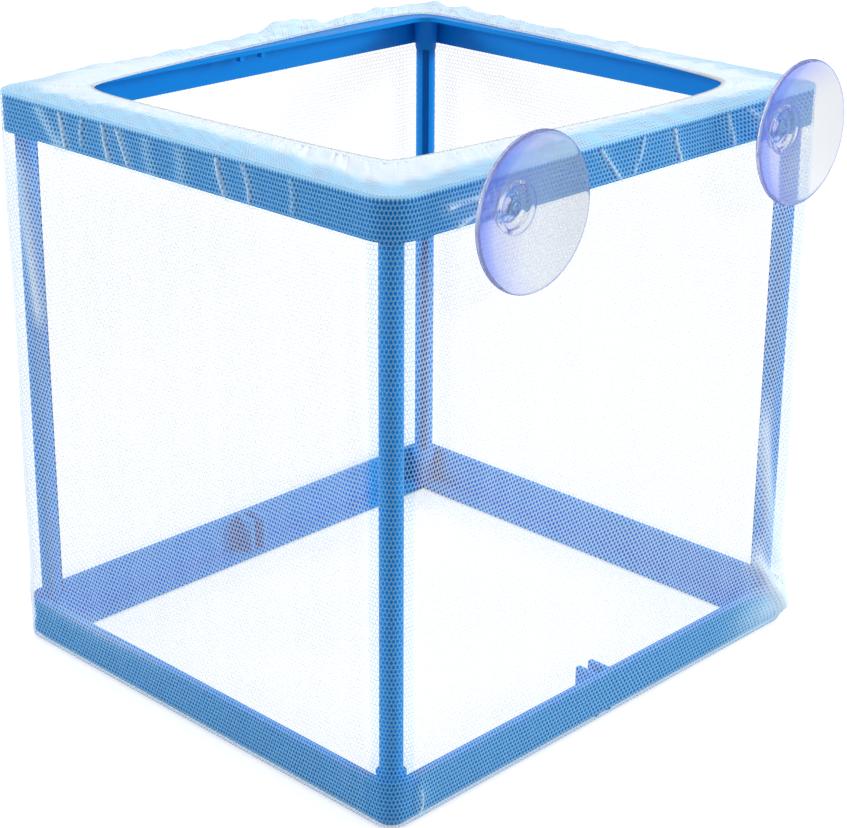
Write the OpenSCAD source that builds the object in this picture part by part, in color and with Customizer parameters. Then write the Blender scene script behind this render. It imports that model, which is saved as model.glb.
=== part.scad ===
// Fish breeding box: a plug-together plastic frame inside a fine net bag,
// hung on the wall of a tank by two suction cups.
// X runs along the cup side, Y runs away from the cups, Z is up.
// The origin is the middle of the net floor's underside.

/* [Frame] */
// Outside width of the bottom frame, along the cup side
box_w = 158.8; // [120:0.2:220]
// Outside depth of the bottom frame, away from the cup side
box_d = 145.2; // [110:0.2:220]
// Height of the plastic frame, from the bottom flange to the top of the rim
frame_h = 156; // [90:1:220]

/* [Bottom frame] */
// Outside corner radius of the bottom frame
base_r = 5; // [4.5:0.5:8]
// Thickness of the bottom frame's upright wall
base_wall = 2; // [2:0.1:2.5]
// Height of the bottom frame's upright wall
base_wall_h = 12; // [10:0.5:20]
// Width of the bottom flange, from the outside face
base_flange_w = 8.7; // [6:0.1:14]
// Thickness of the bottom flange
base_flange_t = 1.5; // [1:0.1:2.5]
// How far the lower outside edge is sloped off, inwards and upwards
base_edge = 1.4; // [0.8:0.1:1.6]
// Height of the upright foot below that slope
base_foot_h = 0.3; // [0.2:0.1:0.5]

/* [Top frame] */
// How far the top frame stands out past the bottom frame on each side
rim_overhang = 0.7; // [0.5:0.1:3]
// Outside corner radius of the top frame
rim_r = 7.5; // [5:0.5:12]
// Thickness of the skirt that hangs from the top flange
rim_wall = 1.6; // [1:0.1:2.5]
// Height of the skirt, flange included
rim_skirt_h = 10.2; // [9:0.2:16]
// Width of the top flange, from the outside face
rim_flange_w = 11.1; // [10.5:0.1:16]
// Thickness of the top flange
rim_flange_t = 1.3; // [1:0.1:1.6]
// Corner radius of the opening in the top flange
rim_mouth_r = 5; // [2:0.5:9]

/* [Posts] */
// Diameter of a corner post
post_d = 5.8; // [4.8:0.1:6.6]
// Distance of a post's axis from the outside faces of the bottom frame
post_inset = 5.3; // [5:0.1:5.4]
// Width of the groove down the inner side of a post
groove_w = 1.9; // [1:0.1:2.4]
// Depth of the groove down the inner side of a post
groove_d = 2.2; // [1:0.1:2.8]
// Diameter of the spigot at each end of a post
spigot_d = 3.8; // [3:0.1:4]
// Length of the spigot at each end of a post
spigot_l = 7; // [4:0.5:8]

/* [Sockets] */
// Outside diameter of a bottom socket
base_socket_d = 7.4; // [7.2:0.1:7.8]
// Height of a bottom socket above the wall of the bottom frame
base_socket_rise = 0.6; // [0.2:0.1:2]
// Outside diameter of a top socket where it meets the flange
rim_socket_d = 7.6; // [7:0.1:8.4]
// Outside diameter of a top socket at its lower end
rim_socket_tip_d = 6.2; // [5.8:0.1:7]
// How far a top socket reaches below the skirt
rim_socket_drop = 1; // [0.4:0.1:3]
// Clearance round a spigot in its socket
spigot_clear = 0.1; // [0.05:0.05:0.2]
// Clearance past the end of a spigot in its socket
spigot_end_clear = 0.4; // [0.2:0.1:0.6]

/* [Divider ribs] */
// Thickness of the ribs that hold a divider
rib_t = 1.4; // [1:0.1:2.5]
// Clear gap between the two bottom ribs
base_rib_gap = 3.5; // [2:0.1:8]
// How far the bottom ribs reach in from the wall
base_rib_reach = 6.2; // [2:0.1:6.6]
// Clear gap between the two top ribs
rim_rib_gap = 6.4; // [2:0.1:10]
// How far the top ribs hang below the flange
rim_rib_drop = 1.5; // [1:0.1:4]
// Distance of the top ribs from the edge of the mouth
rim_rib_setback = 0.3; // [0.2:0.1:3]
// Length of the top ribs, across the flange
rim_rib_reach = 1.8; // [1:0.1:4]

/* [Net bag] */
// Thickness of the net
net_t = 0.4; // [0.2:0.1:0.6]
// Clearance between the net and the upright faces of the frame
net_clear = 0.2; // [0.1:0.05:0.5]
// Clearance between the net and the top of the rim
rim_net_clear = 0.1; // [0.1:0.05:0.5]
// Distance of the hem's inner edge from the outside of the top frame
hem_inset = 11.9; // [9:0.1:16]
// How far the hem sits off centre towards the right and the back
hem_shift = 3.5; // [0:0.5:4]
// Corner radius of the hem's inner edge
hem_r = 8; // [4:0.5:14]
// Width of the gathered hem
hem_w = 2.6; // [2:0.1:4]
// Height of the gathered hem
hem_h = 2; // [1.6:0.1:3]
// Width of the flat elastic in the hem
elastic_w = 1.2; // [0.8:0.1:1.4]
// Thickness of the flat elastic in the hem
elastic_t = 0.8; // [0.4:0.1:1]
// Clearance round the elastic in the hem
elastic_clear = 0.2; // [0.1:0.05:0.3]

/* [Suction cups] */
// Distance of the left cup from the left end of the bottom frame
cup_left_inset = 32.9; // [21:0.1:50]
// Distance of the right cup from the right end of the bottom frame
cup_right_inset = 24.4; // [21:0.1:50]
// Height of the cup holes above the lower edge of the skirt
cup_rise = 3.2; // [3.1:0.1:5]
// Diameter of a cup at its rim
cup_d = 37.6; // [30:0.2:44]
// Distance from the skirt to the plane of a cup's rim
cup_reach = 11.2; // [10:0.1:16]
// Depth of the dish, from its bottom to the plane of the rim
dish_depth = 6; // [4:0.5:7.5]
// Thickness of the dish at the hub
dish_t = 1.4; // [1:0.1:2]
// Thickness of the dish just inside the rim
dish_edge_t = 0.6; // [0.5:0.1:1.2]
// Width of the flat face round the rim
lip_w = 1; // [0.8:0.1:2]
// Diameter of the step between the hub and the dish
step_d = 11.4; // [9:0.2:14]
// Diameter of the hub
hub_d = 8; // [7:0.2:8.6]
// Diameter of the neck in the skirt's hole
neck_d = 4.2; // [3.6:0.1:4.8]
// Clearance round the neck in the skirt's hole
neck_clear = 0.3; // [0.2:0.05:0.6]
// Diameter of the head inside the skirt
head_d = 6.4; // [5.8:0.1:6.8]
// Length of the head inside the skirt
head_l = 3.6; // [2.5:0.1:5]
// Clearance between the cup and the faces it is pressed on
cup_clear = 0.3; // [0.2:0.05:0.6]

/* [Hidden] */
$fn = 64;
hull_fn = 32;
// Overrun of a cut past the face it starts from
cut = 1;

// Sizes of the top frame
rim_w = box_w + 2 * rim_overhang;
rim_d = box_d + 2 * rim_overhang;
// Heights above the underside of the net floor
frame_z = net_t;
base_top_z = frame_z + base_wall_h;
rim_top_z = frame_z + frame_h;
skirt_z = rim_top_z - rim_skirt_h;
flange_z = rim_top_z - rim_flange_t;
// A post's body runs from the top of one socket to the end of the other
post_z0 = base_top_z + base_socket_rise;
post_z1 = skirt_z - rim_socket_drop;
post_x = box_w / 2 - post_inset;
post_y = box_d / 2 - post_inset;
socket_bore_d = spigot_d + 2 * spigot_clear;
socket_bore_l = spigot_l + spigot_end_clear;
// The net lies round the frame, over the rim and on to the hem
net_z = rim_top_z + rim_net_clear;
hem_side_w = rim_w - 2 * hem_inset;
hem_side_d = rim_d - 2 * hem_inset;
hem_outer_r = hem_r + hem_w;
// Axes of the cups
cup_left_x = cup_left_inset - box_w / 2;
cup_right_x = box_w / 2 - cup_right_inset;
cup_z = skirt_z + cup_rise;
skirt_y = -rim_d / 2;
// Distances along a cup's axis, outwards from the skirt's outer face
head_s = -rim_wall - cup_clear;
hub_s = net_clear + net_t + cup_clear;
dish_s = cup_reach - dish_depth;
dish_back_s = dish_s - dish_t;
step_t = 1;
head_tip_d = head_d / 2;
head_taper = head_l / 3;
cup_r = cup_d / 2;
lip_r = cup_r - lip_w;
// Radii of the two spheres that the dish follows
dish_in_r = (lip_r * lip_r + dish_depth * dish_depth) / (2 * dish_depth);
dish_out_depth = cup_reach - dish_edge_t - dish_back_s;
dish_out_r = (cup_r * cup_r + dish_out_depth * dish_out_depth) / (2 * dish_out_depth);
dish_steps = 12;

frame_colour = "#2f8fe6";
net_colour = "#eef4fb";
elastic_colour = "#d9d9d6";
cup_colour = "#c9cdf0";

// Rectangle with round corners, made of true arcs
module rounded_rect(w, d, r) {
    square([w - 2 * r, d], center = true);
    square([w, d - 2 * r], center = true);
    for (sx = [-1, 1], sy = [-1, 1])
        translate([sx * (w / 2 - r), sy * (d / 2 - r)]) circle(r);
}

// Places its children at the four posts
module at_posts() {
    for (sx = [-1, 1], sy = [-1, 1])
        translate([sx * post_x, sy * post_y, 0]) children();
}

// Two ribs on each long side that hold the edge of a divider
module divider_ribs(gap, wall_y, reach, z, h) {
    for (sx = [-1, 1], sy = [-1, 1])
        translate([sx * (gap + rib_t) / 2 - rib_t / 2, sy > 0 ? wall_y - reach : -wall_y, z])
            cube([rib_t, reach, h]);
}

// Closed block with the outside of the bottom frame, its lower edge sloped off
module base_block() {
    slope_z = frame_z + base_foot_h + base_edge;
    hull() {
        translate([0, 0, frame_z]) linear_extrude(base_foot_h)
            rounded_rect(box_w - 2 * base_edge, box_d - 2 * base_edge, base_r - base_edge, $fn = hull_fn);
        translate([0, 0, slope_z]) linear_extrude(base_top_z - slope_z)
            rounded_rect(box_w, box_d, base_r, $fn = hull_fn);
    }
}

module bottom_frame() {
    color(frame_colour) difference() {
        union() {
            difference() {
                base_block();
                translate([0, 0, frame_z + base_flange_t]) linear_extrude(base_wall_h)
                    rounded_rect(box_w - 2 * base_wall, box_d - 2 * base_wall, base_r - base_wall);
                translate([0, 0, frame_z - cut]) linear_extrude(base_wall_h)
                    square([box_w - 2 * base_flange_w, box_d - 2 * base_flange_w], center = true);
            }
            at_posts() translate([0, 0, frame_z])
                cylinder(d = base_socket_d, h = base_wall_h + base_socket_rise);
            divider_ribs(base_rib_gap, box_d / 2 - base_wall / 2, base_rib_reach + base_wall / 2,
                frame_z, base_wall_h);
        }
        at_posts() translate([0, 0, post_z0 - socket_bore_l])
            cylinder(d = socket_bore_d, h = socket_bore_l + cut);
    }
}

module top_frame() {
    color(frame_colour) difference() {
        union() {
            translate([0, 0, flange_z]) linear_extrude(rim_flange_t) difference() {
                rounded_rect(rim_w, rim_d, rim_r);
                rounded_rect(rim_w - 2 * rim_flange_w, rim_d - 2 * rim_flange_w, rim_mouth_r);
            }
            translate([0, 0, skirt_z]) linear_extrude(rim_skirt_h) difference() {
                rounded_rect(rim_w, rim_d, rim_r);
                rounded_rect(rim_w - 2 * rim_wall, rim_d - 2 * rim_wall, rim_r - rim_wall);
            }
            at_posts() translate([0, 0, post_z1])
                cylinder(d1 = rim_socket_tip_d, d2 = rim_socket_d, h = flange_z - post_z1 + rim_flange_t / 2);
            divider_ribs(rim_rib_gap, rim_d / 2 - rim_flange_w + rim_rib_setback + rim_rib_reach,
                rim_rib_reach, flange_z - rim_rib_drop, rim_rib_drop + rim_flange_t / 2);
        }
        at_posts() translate([0, 0, post_z1 - cut])
            cylinder(d = socket_bore_d, h = socket_bore_l + cut);
        for (x = [cup_left_x, cup_right_x])
            translate([x, skirt_y - cut, cup_z]) rotate([-90, 0, 0])
                cylinder(d = neck_d + 2 * neck_clear, h = rim_wall + 2 * cut);
    }
}

// One corner post; its groove faces the middle of the box
module post(sx, sy) {
    color(frame_colour) translate([sx * post_x, sy * post_y, 0]) {
        difference() {
            translate([0, 0, post_z0]) cylinder(d = post_d, h = post_z1 - post_z0);
            rotate(atan2(-sy, -sx)) translate([post_d / 2 - groove_d, -groove_w / 2, post_z0 - cut])
                cube([groove_d + cut, groove_w, post_z1 - post_z0 + 2 * cut]);
        }
        translate([0, 0, post_z0 - spigot_l]) cylinder(d = spigot_d, h = spigot_l);
        translate([0, 0, post_z1]) cylinder(d = spigot_d, h = spigot_l);
    }
}

// Closed block with the outline of the bag, grown by g and tapering up to the rim
module bag_block(g) {
    hull() {
        translate([0, 0, frame_z]) linear_extrude(net_t)
            rounded_rect(box_w + 2 * g, box_d + 2 * g, base_r + g, $fn = hull_fn);
        translate([0, 0, net_z - net_t]) linear_extrude(net_t)
            rounded_rect(rim_w + 2 * g, rim_d + 2 * g, rim_r + g, $fn = hull_fn);
    }
}

// Wedge that holds one side of the bag, cut at the middle of both corners;
// side is 0 for the back, 1 for the left, 2 for the front, 3 for the right
module side_wedge(side) {
    turned = side % 2 == 1;
    reach = rim_r + net_clear + 2 * net_t;
    half_w = (turned ? rim_d : rim_w) / 2 + reach;
    half_d = (turned ? rim_w : rim_d) / 2 + reach;
    inner = 2 * rim_r + reach;
    rotate(side * 90) linear_extrude(net_z + 2 * hem_h) polygon([[-half_w, half_d], [half_w, half_d],
        [half_w - inner, half_d - inner], [inner - half_w, half_d - inner]]);
}

// Upright wall of the bag
module net_wall(side) {
    intersection() {
        difference() {
            bag_block(net_clear + net_t);
            bag_block(net_clear);
        }
        side_wedge(side);
    }
}

module net_wall_front() {
    color(net_colour) difference() {
        net_wall(2);
        for (x = [cup_left_x, cup_right_x])
            translate([x, skirt_y - 2 * cut, cup_z]) rotate([-90, 0, 0])
                cylinder(d = neck_d + 4 * neck_clear, h = 4 * cut);
    }
}

module net_floor() {
    color(net_colour) linear_extrude(net_t)
        rounded_rect(box_w + 2 * (net_clear + net_t), box_d + 2 * (net_clear + net_t),
            base_r + net_clear + net_t);
}

// Net folded over the rim, from the outside edge to the hem
module net_turnover(side) {
    color(net_colour) intersection() {
        translate([0, 0, net_z]) linear_extrude(net_t) difference() {
            rounded_rect(rim_w + 2 * (net_clear + net_t), rim_d + 2 * (net_clear + net_t),
                rim_r + net_clear + net_t);
            translate([hem_shift, hem_shift])
                rounded_rect(hem_side_w + 2 * hem_w, hem_side_d + 2 * hem_w, hem_outer_r);
        }
        side_wedge(side);
    }
}

// Flat band that follows the hem's line, from its inner edge outwards
module hem_band(start, w, z, h) {
    translate([hem_shift, hem_shift, z]) linear_extrude(h) difference() {
        rounded_rect(hem_side_w + 2 * (start + w), hem_side_d + 2 * (start + w), hem_r + start + w);
        rounded_rect(hem_side_w + 2 * start, hem_side_d + 2 * start, hem_r + start);
    }
}

module net_hem() {
    tunnel_w = elastic_w + 2 * elastic_clear;
    tunnel_h = elastic_t + 2 * elastic_clear;
    color(net_colour) difference() {
        hem_band(0, hem_w, net_z, hem_h);
        hem_band((hem_w - tunnel_w) / 2, tunnel_w, net_z + (hem_h - tunnel_h) / 2, tunnel_h);
    }
}

module hem_elastic() {
    color(elastic_colour)
        hem_band((hem_w - elastic_w) / 2, elastic_w, net_z + (hem_h - elastic_t) / 2, elastic_t);
}

// Height of a sphere of radius r above its lowest point, at a distance x from its axis
function sphere_rise(r, x) = r - sqrt(r * r - x * x);

// Half section of a suction cup: x is the radius, y the distance out from the skirt
module cup_section() {
    step_r = step_d / 2;
    polygon(concat(
        [[0, head_s - head_l], [head_tip_d / 2, head_s - head_l],
         [head_d / 2, head_s - head_l + head_taper], [head_d / 2, head_s],
         [neck_d / 2, head_s], [neck_d / 2, hub_s],
         [hub_d / 2, hub_s], [hub_d / 2, dish_back_s - step_t],
         [step_r, dish_back_s - step_t]],
        [for (i = [0 : dish_steps])
            let (x = step_r + (cup_r - step_r) * i / dish_steps)
            [x, dish_back_s + sphere_rise(dish_out_r, x)]],
        [[cup_r, cup_reach]],
        [for (i = [dish_steps : -1 : 0])
            let (x = lip_r * i / dish_steps) [x, dish_s + sphere_rise(dish_in_r, x)]]));
}

module suction_cup(x) {
    color(cup_colour, 0.6) translate([x, skirt_y, cup_z]) rotate([90, 0, 0])
        rotate_extrude() cup_section();
}

bottom_frame();
top_frame();
post(-1, -1);  // post_front_left
post(1, -1);  // post_front_right
post(-1, 1);  // post_back_left
post(1, 1);  // post_back_right
net_floor();
net_wall_front();
color(net_colour) net_wall(0);  // net_wall_back
color(net_colour) net_wall(1);  // net_wall_left
color(net_colour) net_wall(3);  // net_wall_right
net_turnover(2);  // net_turnover_front
net_turnover(0);  // net_turnover_back
net_turnover(1);  // net_turnover_left
net_turnover(3);  // net_turnover_right
net_hem();
hem_elastic();
suction_cup(cup_left_x);  // suction_cup_left
suction_cup(cup_right_x);  // suction_cup_right
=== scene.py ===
import math
import bpy
import bmesh
import numpy as np
from mathutils import Matrix, Vector


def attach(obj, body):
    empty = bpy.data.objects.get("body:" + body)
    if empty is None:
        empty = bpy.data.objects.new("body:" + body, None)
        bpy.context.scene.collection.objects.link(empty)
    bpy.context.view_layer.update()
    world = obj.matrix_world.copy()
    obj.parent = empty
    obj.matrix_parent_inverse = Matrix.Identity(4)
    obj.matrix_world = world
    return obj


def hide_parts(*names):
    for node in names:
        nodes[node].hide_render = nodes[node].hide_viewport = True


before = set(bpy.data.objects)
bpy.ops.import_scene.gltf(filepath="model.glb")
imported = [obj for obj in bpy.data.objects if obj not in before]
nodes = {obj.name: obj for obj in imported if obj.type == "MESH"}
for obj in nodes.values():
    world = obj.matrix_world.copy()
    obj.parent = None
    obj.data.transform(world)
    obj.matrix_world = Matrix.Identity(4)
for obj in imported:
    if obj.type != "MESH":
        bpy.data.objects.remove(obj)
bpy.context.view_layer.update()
mm = 0.001
print("frame loaded:", len(nodes), "nodes")


cameraView = {
    "place": (-386.3, -382.4, 282.2),  # mm
    "yaw": 44.136,  # direction of view from +X, in degrees
    "pitch": 19.752,  # downwards
    "roll": 0.385,
    "lens": 90.55,
    "shiftX": -0.00864,
    "shiftY": -0.09075,
}


def addCamera(s):
    data = bpy.data.cameras.new("boxCamera")
    data.sensor_fit = "HORIZONTAL"
    data.sensor_width = 36
    data.lens = s["lens"]
    data.shift_x, data.shift_y = s["shiftX"], s["shiftY"]
    data.clip_start, data.clip_end = 0.01, 20
    cam = bpy.data.objects.new("boxCamera", data)
    turn = (Matrix.Rotation(math.radians(s["yaw"] - 90), 4, "Z")
            @ Matrix.Rotation(math.radians(90 - s["pitch"]), 4, "X")
            @ Matrix.Rotation(math.radians(s["roll"]), 4, "Z"))
    cam.matrix_world = Matrix.Translation(Vector(s["place"]) * mm) @ turn
    bpy.context.scene.collection.objects.link(cam)
    bpy.context.scene.camera = cam


addCamera(cameraView)
bpy.context.scene.view_settings.view_transform = "Standard"
print("camera in place")


def newMaterial(name):
    m = bpy.data.materials.new(name)
    m.use_nodes = True
    return m, m.node_tree, m.node_tree.nodes["Principled BSDF"]


def setUp(tree, kind, **values):
    n = tree.nodes.new(kind)
    for key, value in values.items():
        setattr(n, key, value)
    return n


def maths(tree, operation, a, b=None, c=None, clamp=False):
    n = setUp(tree, "ShaderNodeMath", operation=operation, use_clamp=clamp)
    for i, v in enumerate((a, b, c)):
        if v is None:
            continue
        if isinstance(v, (int, float)):
            n.inputs[i].default_value = v
        else:
            tree.links.new(v, n.inputs[i])
    return n.outputs[0]


def newGroup(name, inputs, outputs):
    g = bpy.data.node_groups.new(name, "ShaderNodeTree")
    for label, kind, value in inputs:
        s = g.interface.new_socket(label, in_out="INPUT", socket_type=kind)
        if value is not None:
            s.default_value = value
    for label, kind in outputs:
        g.interface.new_socket(label, in_out="OUTPUT", socket_type=kind)
    return g, g.nodes.new("NodeGroupInput").outputs, g.nodes.new("NodeGroupOutput").inputs


def useGroup(tree, group, **values):
    n = setUp(tree, "ShaderNodeGroup", node_tree=group)
    for label, value in values.items():
        if isinstance(value, bpy.types.NodeSocket):
            tree.links.new(value, n.inputs[label])
        else:
            n.inputs[label].default_value = value
    return n.outputs


# Hexagonal net: round holes on a staggered lattice, from a UV map in centimetres
def makeNetGroup():
    g, i, o = newGroup("knittedNet", [
        ("UV", "NodeSocketVector", None), ("Pitch", "NodeSocketFloat", 0.13),
        ("Row", "NodeSocketFloat", 0.1126), ("Hole", "NodeSocketFloat", 0.4),
        ("Soft", "NodeSocketFloat", 0.06), ("Density", "NodeSocketFloat", 0.0)],
        [("Thread", "NodeSocketFloat"), ("Height", "NodeSocketFloat")])
    xyz = setUp(g, "ShaderNodeSeparateXYZ")
    g.links.new(i["UV"], xyz.inputs[0])
    u = maths(g, "DIVIDE", xyz.outputs[0], i["Pitch"])
    v = maths(g, "DIVIDE", xyz.outputs[1], i["Row"])
    ratio = maths(g, "DIVIDE", i["Row"], i["Pitch"])
    found = []
    for shift in (0.0, 0.5):
        fu = maths(g, "SUBTRACT", maths(g, "FRACT", maths(g, "ADD", u, shift)), 0.5)
        half = maths(g, "ADD", maths(g, "MULTIPLY", v, 0.5), shift)
        fv = maths(g, "SUBTRACT", maths(g, "FRACT", half), 0.5)
        dv = maths(g, "MULTIPLY", maths(g, "MULTIPLY", fv, 2.0), ratio)
        found.append(maths(g, "SQRT", maths(
            g, "ADD", maths(g, "MULTIPLY", fu, fu), maths(g, "MULTIPLY", dv, dv))))
    away = maths(g, "MINIMUM", found[0], found[1])
    radius = maths(g, "MULTIPLY", i["Hole"], maths(g, "SUBTRACT", 1.0, i["Density"]))
    edge = maths(g, "DIVIDE", maths(g, "SUBTRACT", away, radius), i["Soft"])
    thread = maths(g, "ADD", maths(g, "MULTIPLY", edge, 0.5), 0.5, clamp=True)
    g.links.new(thread, o["Thread"])
    g.links.new(maths(g, "MULTIPLY", away, 2.0, clamp=True), o["Height"])
    return g


# Moulded plastic: faint tone change, fine grain and softly scuffed gloss
def makeMouldGroup():
    g, i, o = newGroup("mouldedSurface", [
        ("Colour", "NodeSocketColor", (1, 1, 1, 1)), ("Tone", "NodeSocketFloat", 0.06),
        ("Roughness", "NodeSocketFloat", 0.35), ("Scuff", "NodeSocketFloat", 0.1),
        ("Grain", "NodeSocketFloat", 900.0)],
        [("Colour", "NodeSocketColor"), ("Roughness", "NodeSocketFloat"),
         ("Height", "NodeSocketFloat")])
    where = setUp(g, "ShaderNodeTexCoord").outputs["Object"]
    cloud = setUp(g, "ShaderNodeTexNoise")
    cloud.inputs["Scale"].default_value = 45
    cloud.inputs["Detail"].default_value = 3
    g.links.new(where, cloud.inputs["Vector"])
    grain = setUp(g, "ShaderNodeTexNoise")
    grain.inputs["Detail"].default_value = 2
    g.links.new(where, grain.inputs["Vector"])
    g.links.new(i["Grain"], grain.inputs["Scale"])
    shade = maths(g, "MULTIPLY_ADD", maths(g, "SUBTRACT", cloud.outputs["Fac"], 0.5),
                  i["Tone"], 1.0)
    mix = setUp(g, "ShaderNodeVectorMath", operation="SCALE")
    g.links.new(i["Colour"], mix.inputs[0])
    g.links.new(shade, mix.inputs["Scale"])
    g.links.new(mix.outputs[0], o["Colour"])
    rough = maths(g, "MULTIPLY_ADD", maths(g, "SUBTRACT", cloud.outputs["Fac"], 0.5),
                  i["Scuff"], i["Roughness"], clamp=True)
    g.links.new(rough, o["Roughness"])
    g.links.new(grain.outputs["Fac"], o["Height"])
    return g


netGroup = makeNetGroup()
mouldGroup = makeMouldGroup()


def addBump(tree, bsdf, height, distance, strength=1.0):
    b = setUp(tree, "ShaderNodeBump")
    b.inputs["Distance"].default_value = distance
    b.inputs["Strength"].default_value = strength
    tree.links.new(height, b.inputs["Height"])
    tree.links.new(b.outputs[0], bsdf.inputs["Normal"])


bluePlastic = {"colour": (0.002, 0.232, 0.69), "roughness": 0.38, "specular": 0.12}


def makeBlue(s):
    m, t, b = newMaterial("blueMouldedPlastic")
    out = useGroup(t, mouldGroup, Colour=(*s["colour"], 1), Roughness=s["roughness"])
    t.links.new(out["Colour"], b.inputs["Base Color"])
    t.links.new(out["Roughness"], b.inputs["Roughness"])
    b.inputs["Specular IOR Level"].default_value = s["specular"]
    addBump(t, b, out["Height"], 0.00003)
    return m


# The net is white; its second colour is a painted blue bounce, light from the blue plastic painted into
# the threads where they lie on the frame.
netCloth = {
    "colour": (0.80, 0.90, 1.0), "paintedBlueBounce": (0.29, 0.68, 1.0), "hole": 0.385, "soft": 0.14,
    "open": (0.48, 0.12), "laid": (0.62, 0.95), "film": 0.8, "under": 0.28,
}


def makeNet(s):
    m, t, b = newMaterial("whiteKnittedNet")
    uv = setUp(t, "ShaderNodeUVMap", uv_map="weave").outputs[0]
    close = setUp(t, "ShaderNodeAttribute", attribute_name="closeness").outputs["Fac"]
    glow = setUp(t, "ShaderNodeAttribute", attribute_name="paintedBlueBounce").outputs["Fac"]
    out = useGroup(t, netGroup, UV=uv, Density=close, Hole=s["hole"], Soft=s["soft"])
    above = maths(t, "MAXIMUM", close, 0.0)
    # how solid a thread looks and how much shadow it casts, hanging free and laid on plastic
    seen, cast = (maths(t, "MULTIPLY_ADD", glow, s["laid"][k] - s["open"][k], s["open"][k],
                        clamp=True) for k in (0, 1))
    solid = maths(t, "ADD", seen, maths(t, "MULTIPLY", maths(t, "POWER", above, 1.2),
                                        maths(t, "SUBTRACT", 1.0, seen)), clamp=True)
    film = maths(t, "MULTIPLY", maths(t, "MULTIPLY", above, above), s["film"])
    cover = maths(t, "MAXIMUM", maths(t, "MULTIPLY", out["Thread"], solid), film, clamp=True)
    shadow = setUp(t, "ShaderNodeLightPath").outputs["Is Shadow Ray"]
    dark = maths(t, "MAXIMUM", maths(t, "MULTIPLY", out["Thread"], cast), film, clamp=True)
    dark = maths(t, "MULTIPLY_ADD", glow, s["under"], dark, clamp=True)
    change = maths(t, "MULTIPLY", shadow, maths(t, "SUBTRACT", dark, cover))
    t.links.new(maths(t, "ADD", cover, change, clamp=True), b.inputs["Alpha"])
    # Threads on the frame take the painted blue bounce colour, free threads stay white.
    mix = setUp(t, "ShaderNodeMix", data_type="RGBA")
    mix.inputs[6].default_value = (*s["colour"], 1)
    mix.inputs[7].default_value = (*s["paintedBlueBounce"], 1)
    t.links.new(glow, mix.inputs[0])
    t.links.new(mix.outputs[2], b.inputs["Base Color"])
    b.inputs["Roughness"].default_value = 0.7
    b.inputs["Specular IOR Level"].default_value = 0.2
    addBump(t, b, out["Height"], 0.0001)
    return m


clearCup = {"face": (0.765, 0.785, 0.81), "edge": (0.22, 0.30, 0.92), "blend": 0.5,
            "band": (2.2, -0.55), "roughness": 0.1, "clear": 0.86, "ior": 1.22,
            "shadow": 0.25}


def makeCup(s):
    m, t, b = newMaterial("clearSoftPvc")
    facing = setUp(t, "ShaderNodeLayerWeight")
    facing.inputs["Blend"].default_value = s["blend"]
    mix = setUp(t, "ShaderNodeMix", data_type="RGBA")
    mix.inputs[6].default_value = (*s["face"], 1)
    mix.inputs[7].default_value = (*s["edge"], 1)
    t.links.new(maths(t, "MULTIPLY_ADD", facing.outputs["Facing"], *s["band"], clamp=True),
                mix.inputs[0])
    t.links.new(mix.outputs[2], b.inputs["Base Color"])
    b.inputs["Roughness"].default_value = s["roughness"]
    b.inputs["Transmission Weight"].default_value = s["clear"]
    b.inputs["IOR"].default_value = s["ior"]
    shadow = setUp(t, "ShaderNodeLightPath").outputs["Is Shadow Ray"]
    t.links.new(maths(t, "MULTIPLY_ADD", shadow, s["shadow"] - 1, 1.0), b.inputs["Alpha"])
    return m


def makePlain(name, colour, roughness):
    m, t, b = newMaterial(name)
    b.inputs["Base Color"].default_value = (*colour, 1)
    b.inputs["Roughness"].default_value = roughness
    return m


plainFinish = {
    # the elastic is a real cord; its grey is partly its own colour and partly painted shade, drawing the
    # hem's inner edge as a grey line
    "elastic": ((0.60, 0.585, 0.57), 0.7),  # colour and roughness
    "thread": ((0.74, 0.75, 0.76), 0.8),
}

blueMaterial = makeBlue(bluePlastic)
netMaterial = makeNet(netCloth)
cupMaterial = makeCup(clearCup)
cordMaterial = makePlain("elasticAndPaintedEdgeShade", *plainFinish["elastic"])
threadMaterial = makePlain("whiteThread", *plainFinish["thread"])


def paint(name, material):
    data = nodes[name].data
    data.materials.clear()
    data.materials.append(material)


for n in nodes:
    if n.endswith("_frame") or n.startswith("post_"):
        paint(n, blueMaterial)
print("materials made")


corners = ((-1, -1), (1, -1), (1, 1), (-1, 1))


def roundedRing(w, d, r, step=0.25):
    points = []
    for k, (sx, sy) in enumerate(corners):
        centre = np.array((sx * (w / 2 - r), sy * (d / 2 - r)))
        for a in np.linspace(math.pi + k * math.pi / 2, math.pi * 1.5 + k * math.pi / 2, 33):
            points.append(centre + r * np.array((math.cos(a), math.sin(a))))
    return densify(np.array(points), step)


def splineRing(control, step=0.25):
    c = np.array(control, float)
    before, after, later = np.roll(c, 1, 0), np.roll(c, -1, 0), np.roll(c, -2, 0)
    points = []
    for t in np.linspace(0, 1, 24, endpoint=False):
        points.append(0.5 * (2 * c + (after - before) * t
                             + (2 * before - 5 * c + 4 * after - later) * t * t
                             + (3 * c - before - 3 * after + later) * t ** 3))
    return densify(np.stack(points, 1).reshape(-1, 2), step)


def densify(points, step):
    closed = np.vstack((points, points[:1]))
    along = np.concatenate(((0,), np.cumsum(np.linalg.norm(np.diff(closed, axis=0), axis=1))))
    n = int(along[-1] / step)
    at = np.arange(n) * along[-1] / n
    return np.stack([np.interp(at, along, closed[:, k]) for k in (0, 1)], 1)


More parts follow.
